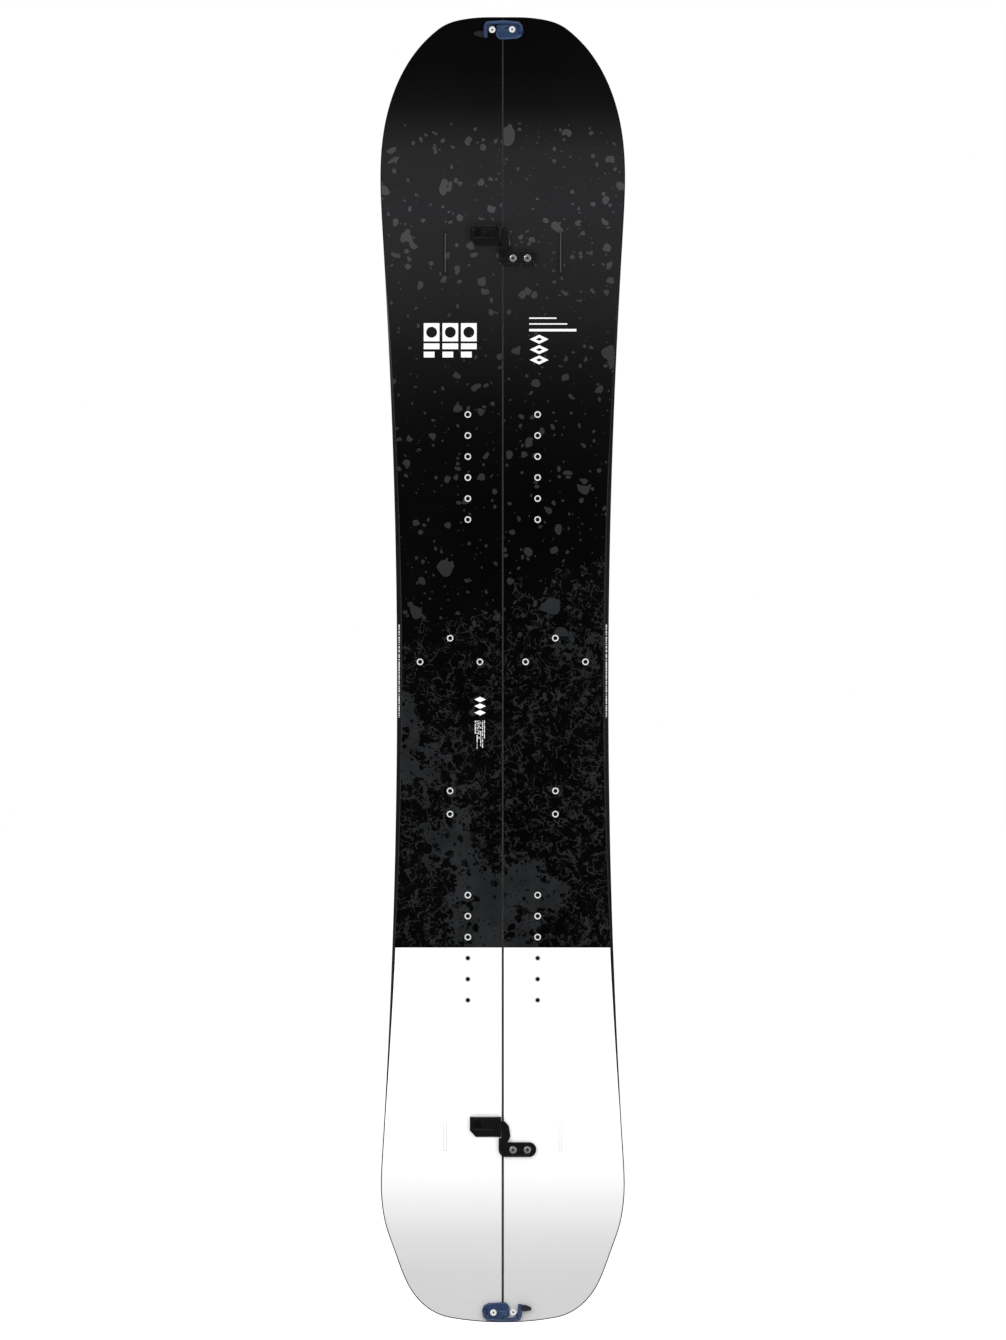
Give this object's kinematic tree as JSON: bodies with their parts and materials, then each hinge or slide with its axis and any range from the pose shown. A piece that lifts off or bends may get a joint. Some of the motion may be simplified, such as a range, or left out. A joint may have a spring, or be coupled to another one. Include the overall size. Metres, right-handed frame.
{
  "type": "splitboard",
  "caption": "Directional splitboard: two laminated halves locked edge to edge by tip and tail lever clips and sliding hooks, with rows of threaded binding inserts.",
  "frame": {"origin": "stance centre: on the seam between the halves, on the topsheet's flat surface, midway between the front and rear binding insert groups", "axes": "+Z towards the nose along the board's length; the topsheet faces -Y and the base faces +Y; +X to the right when the topsheet is looked at with the nose up"},
  "size_m": [0.2958, 0.054, 1.5749],
  "materials": {
    "topsheet": "satin",
    "glass_laminate": "satin",
    "wood_core": "matte",
    "sidewall": "satin",
    "base": "satin",
    "steel_edge": "satin",
    "insert_steel": "satin",
    "blue_aluminium": "satin",
    "grip_plastic": "matte",
    "zinc_steel": "satin",
    "black_steel": "satin",
    "dark_screw_steel": "satin"
  },
  "bodies": {
    "left_half": {"left_topsheet": "topsheet", "left_top_laminate": "glass_laminate", "left_wood_core": "wood_core", "left_outer_sidewall": "sidewall", "left_seam_sidewall": "sidewall", "left_bottom_laminate": "glass_laminate", "left_base": "base", "left_steel_edge": "steel_edge", "left_front_inserts": "insert_steel", "left_rear_inserts": "insert_steel", "left_touring_inserts": "insert_steel", "left_hardware_inserts": "insert_steel", "nose_clip_stud": "zinc_steel", "tail_clip_plate": "blue_aluminium", "tail_clip_screw": "zinc_steel", "nose_hook_receiver": "black_steel", "nose_receiver_screw": "dark_screw_steel", "tail_hook_receiver": "black_steel", "tail_receiver_screw": "dark_screw_steel"},
    "right_half": {"right_topsheet": "topsheet", "right_top_laminate": "glass_laminate", "right_wood_core": "wood_core", "right_outer_sidewall": "sidewall", "right_seam_sidewall": "sidewall", "right_bottom_laminate": "glass_laminate", "right_base": "base", "right_steel_edge": "steel_edge", "right_front_inserts": "insert_steel", "right_rear_inserts": "insert_steel", "right_touring_inserts": "insert_steel", "right_hardware_inserts": "insert_steel", "tail_clip_stud": "zinc_steel", "nose_clip_plate": "blue_aluminium", "nose_clip_screw": "zinc_steel", "nose_hook_arm": "black_steel", "nose_arm_screws": "dark_screw_steel", "tail_hook_arm": "black_steel", "tail_arm_screws": "dark_screw_steel"},
    "nose_pin": {"nose_pivot_pin": "zinc_steel"},
    "nose_lever": {"nose_clip_lever": "blue_aluminium", "nose_lever_grip": "grip_plastic"},
    "tail_pin": {"tail_pivot_pin": "zinc_steel"},
    "tail_lever": {"tail_clip_lever": "blue_aluminium", "tail_lever_grip": "grip_plastic"}
  },
  "joints": [
    {"name": "half_spread", "type": "slide", "parent": "left_half", "child": "right_half", "axis": [1, 0, 0], "range_m": [0, 0.0125]},
    {"name": "nose_latch_release", "type": "hinge", "parent": "right_half", "child": "nose_pin", "pos_m": [0.0219, -0.04059, 0.8169], "axis": [0, 0.9511, 0.309], "range_deg": [0, 60]},
    {"name": "nose_lever_swing", "type": "hinge", "parent": "nose_pin", "child": "nose_lever", "pos_m": [0.0219, -0.04059, 0.8169], "axis": [0, 0.9511, 0.309], "range_deg": [0, 60]},
    {"name": "tail_latch_release", "type": "hinge", "parent": "left_half", "child": "tail_pin", "pos_m": [-0.0219, -0.02822, -0.72942], "axis": [0, 0.9659, -0.2588], "range_deg": [0, 60]},
    {"name": "tail_lever_swing", "type": "hinge", "parent": "tail_pin", "child": "tail_lever", "pos_m": [-0.0219, -0.02822, -0.72942], "axis": [0, 0.9659, -0.2588], "range_deg": [0, 60]}
  ],
  "couplings": [
    {"joint": "nose_latch_release", "follows": "half_spread", "rad_per_m": 83.77},
    {"joint": "tail_latch_release", "follows": "half_spread", "rad_per_m": 83.77}
  ]
}
